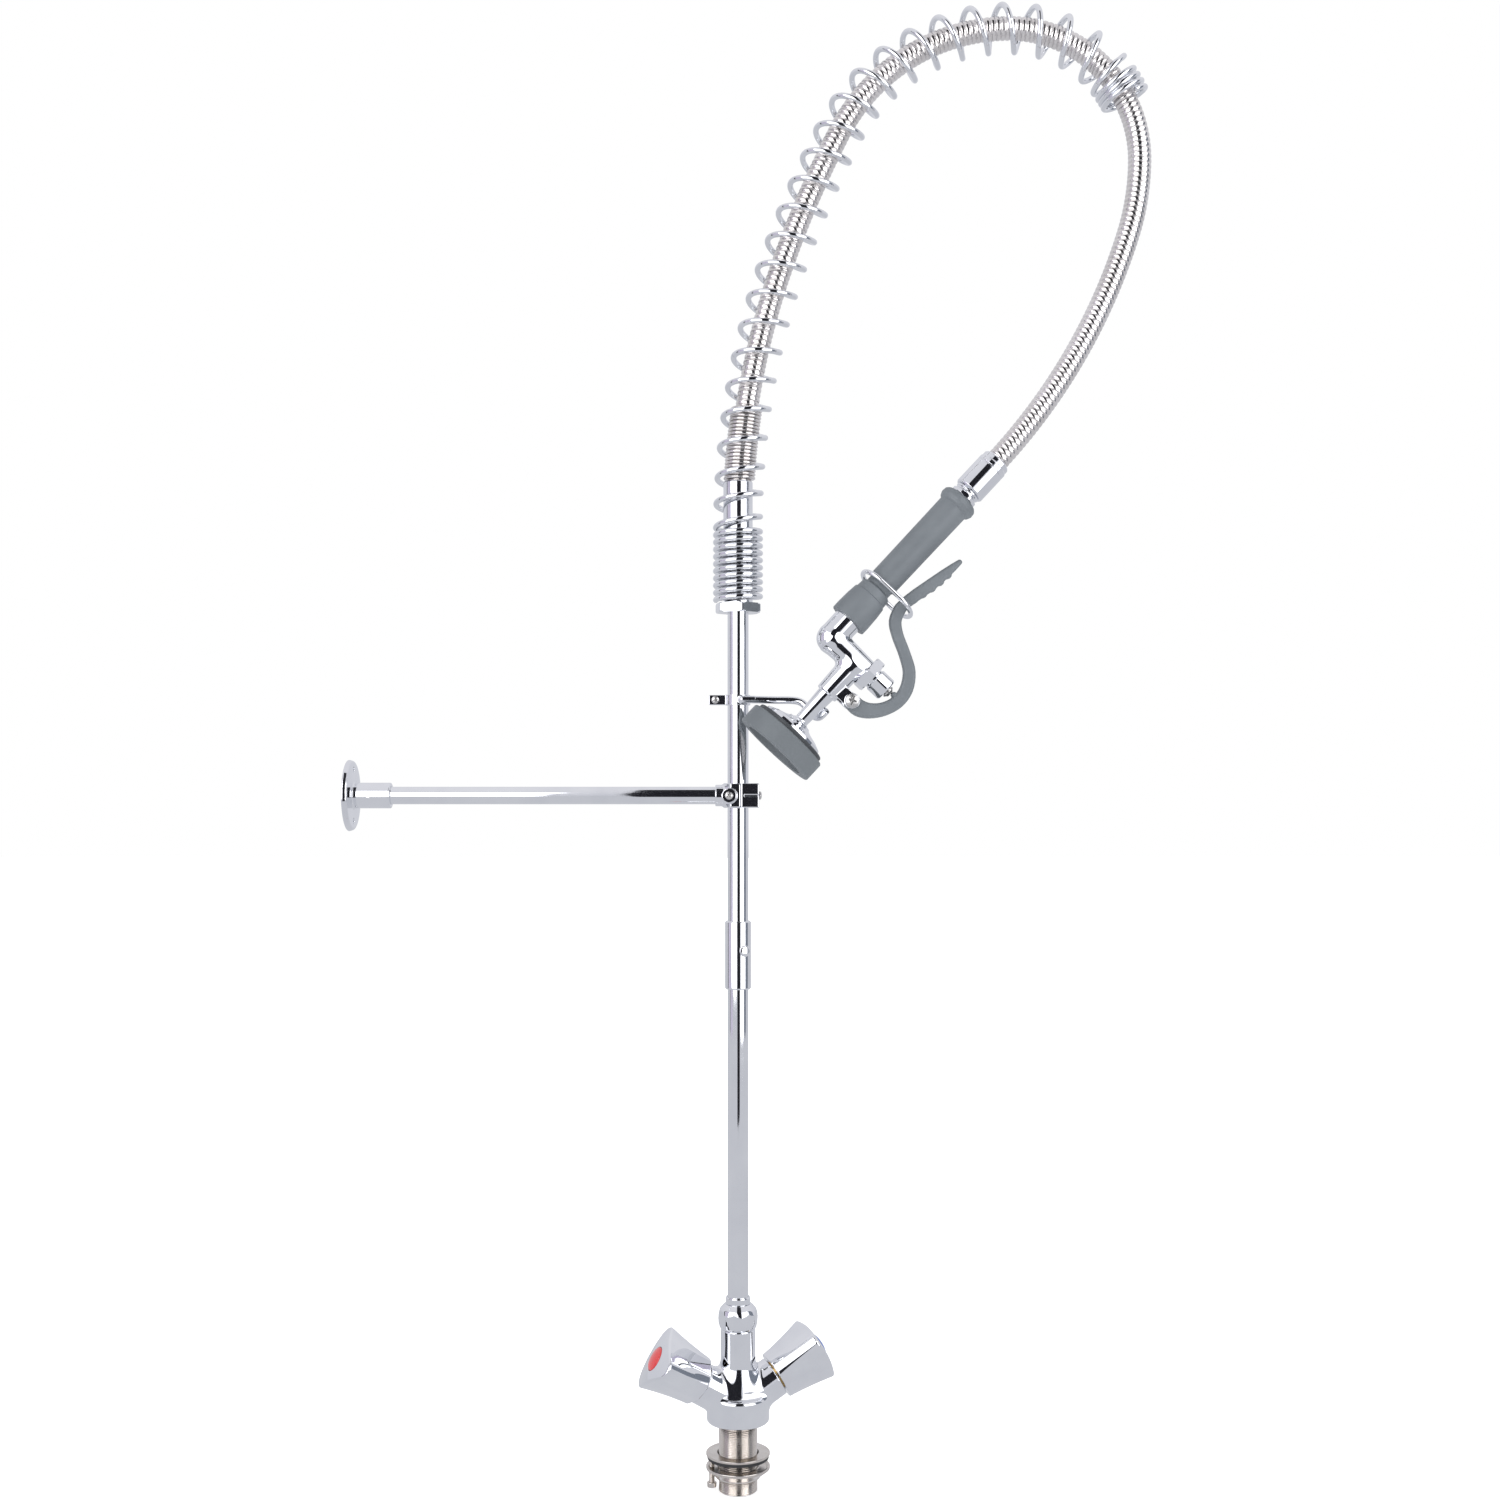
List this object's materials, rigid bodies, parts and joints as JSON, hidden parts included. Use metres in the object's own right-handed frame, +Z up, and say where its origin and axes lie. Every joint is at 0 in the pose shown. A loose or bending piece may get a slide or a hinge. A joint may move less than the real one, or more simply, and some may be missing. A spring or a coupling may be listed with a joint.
{
  "type": "pre rinse faucet",
  "caption": "Deck-mounted pre-rinse faucet: tilted mixer handles, riser with wall bracket and hook, sprung overhead hose, trigger spray gun.",
  "frame": {"origin": "on the riser's axis, at the deck's top face (the gasket's underside)", "axes": "+Z up along the riser, -Y towards the user, -X along the bracket arm as shown at rest"},
  "size_m": [0.6902, 0.1184, 1.2779],
  "materials": {
    "chrome": "polished",
    "spring_wire": "polished drawn wire",
    "nickel": "turned nickel plate",
    "steel": "bright stainless",
    "brass": "machined",
    "black_rubber": "matt",
    "grey_plastic": "moulded, fine matt texture",
    "grey_rubber": "moulded, satin",
    "hot_red": "glossy",
    "cold_blue": "glossy"
  },
  "bodies": {
    "base": {"mixer_body": "chrome", "threaded_shank": "nickel", "base_gasket": "black_rubber", "clamp_washer": "nickel", "rubber_washer": "black_rubber", "back_nut": "nickel", "clamp_screw": "nickel", "hot_cartridge": "brass", "cold_cartridge": "brass", "riser_nut": "chrome", "riser_collar": "chrome", "lower_riser": "chrome", "riser_coupling": "chrome", "coupling_plug": "chrome", "upper_riser": "chrome", "hook_band": "chrome", "hook_rod": "chrome", "hook_screw": "steel", "spring_nut": "chrome"},
    "hot_tap": {"hot_spindle": "brass", "hot_handle": "chrome", "hot_index": "hot_red", "hot_handle_screw": "steel"},
    "cold_tap": {"cold_spindle": "brass", "cold_handle": "chrome", "cold_index": "cold_blue", "cold_handle_screw": "steel"},
    "wall_bracket": {"bracket_clamp_left": "chrome", "bracket_clamp_right": "chrome", "bracket_screws": "steel", "bracket_arm": "chrome", "wall_flange": "chrome", "flange_screw": "steel"},
    "overhead_base": {"hose_adaptor": "chrome", "adaptor_oring": "black_rubber", "spring_base": "spring_wire", "hose_base": "steel"},
    "overhead_lower": {"sleeve_spring": "steel", "spring_lower": "spring_wire", "hose_lower": "steel"},
    "overhead_middle": {"spring_middle": "spring_wire", "hose_middle": "steel"},
    "overhead_arch": {"spring_arch": "spring_wire", "hose_arch": "steel"},
    "hose_link_1": {"hose_bend": "steel"},
    "hose_link_2": {"hose_drop": "steel"},
    "spray_gun": {"hose_end": "steel", "hose_ferrule": "chrome", "gun_nut": "chrome", "grip_sleeve": "grey_plastic", "valve_body": "chrome", "bonnet_nut": "chrome", "lever_screw": "steel", "spray_cap": "chrome", "bumper": "grey_rubber", "spray_face": "steel"},
    "squeeze_lever": {"lever": "grey_plastic"},
    "plunger": {"valve_stem": "steel"},
    "ring": {"hold_ring": "chrome"}
  },
  "joints": [
    {"name": "hot_turn", "type": "hinge", "parent": "base", "child": "hot_tap", "pos_m": [0, 0, 0.016], "axis": [-0.8197, -0.2506, 0.515], "range_deg": [0, 90]},
    {"name": "cold_turn", "type": "hinge", "parent": "base", "child": "cold_tap", "pos_m": [0, 0, 0.016], "axis": [0.8197, 0.2506, 0.515], "range_deg": [0, 90]},
    {"name": "bracket_swing", "type": "hinge", "parent": "base", "child": "wall_bracket", "pos_m": [0, 0, 0.538], "axis": [0, 0, 1], "range_deg": [-90, 0]},
    {"name": "overhead_swing", "type": "hinge", "parent": "base", "child": "overhead_base", "pos_m": [0, 0, 0.7], "axis": [0, 0, 1], "range_deg": [-60, 0]},
    {"name": "spray_pull", "type": "hinge", "parent": "overhead_base", "child": "overhead_lower", "pos_m": [0.00143, 0, 0.81397], "axis": [1, 0, 0], "range_deg": [0, 20]},
    {"name": "spring_lean_2", "type": "hinge", "parent": "overhead_lower", "child": "overhead_middle", "pos_m": [0.0089, 0, 0.87952], "axis": [1, 0, 0], "range_deg": [0, 20]},
    {"name": "spring_lean_3", "type": "hinge", "parent": "overhead_middle", "child": "overhead_arch", "pos_m": [0.02272, 0, 0.94403], "axis": [1, 0, 0], "range_deg": [0, 20]},
    {"name": "hose_flex_1", "type": "hinge", "parent": "overhead_arch", "child": "hose_link_1", "pos_m": [0.34045, -0.00012, 1.11774], "axis": [-0.9806, -0.1961, 0], "range_deg": [0, 26]},
    {"name": "hose_flex_2", "type": "hinge", "parent": "hose_link_1", "child": "hose_link_2", "pos_m": [0.34441, -0.00144, 1.06824], "axis": [-0.9806, -0.1961, 0], "range_deg": [0, 26]},
    {"name": "hose_flex_3", "type": "hinge", "parent": "hose_link_2", "child": "spray_gun", "pos_m": [0.33471, -0.0036, 1.01935], "axis": [-0.9806, -0.1961, 0], "range_deg": [0, 26]},
    {"name": "lever_squeeze", "type": "hinge", "parent": "spray_gun", "child": "squeeze_lever", "pos_m": [0.09584, -0.03121, 0.61735], "axis": [0.0622, -0.9976, 0.0316], "range_deg": [0, 5]},
    {"name": "plunger_push", "type": "slide", "parent": "spray_gun", "child": "plunger", "axis": [-0.7306, -0.024, 0.6824], "range_m": [0, 0.003]},
    {"name": "ring_tilt", "type": "hinge", "parent": "spray_gun", "child": "ring", "pos_m": [0.10662, -0.02709, 0.72634], "axis": [-0.0622, 0.9976, -0.0316], "range_deg": [-4, 4]}
  ],
  "couplings": [
    {"joint": "spring_lean_2", "follows": "spray_pull", "ratio": 1},
    {"joint": "spring_lean_3", "follows": "spray_pull", "ratio": 1},
    {"joint": "hose_flex_1", "follows": "spray_pull", "ratio": 1.2748},
    {"joint": "hose_flex_2", "follows": "spray_pull", "ratio": 1.2748},
    {"joint": "hose_flex_3", "follows": "spray_pull", "ratio": 1.2748},
    {"joint": "plunger_push", "follows": "lever_squeeze", "m_per_rad": 0.0287}
  ]
}
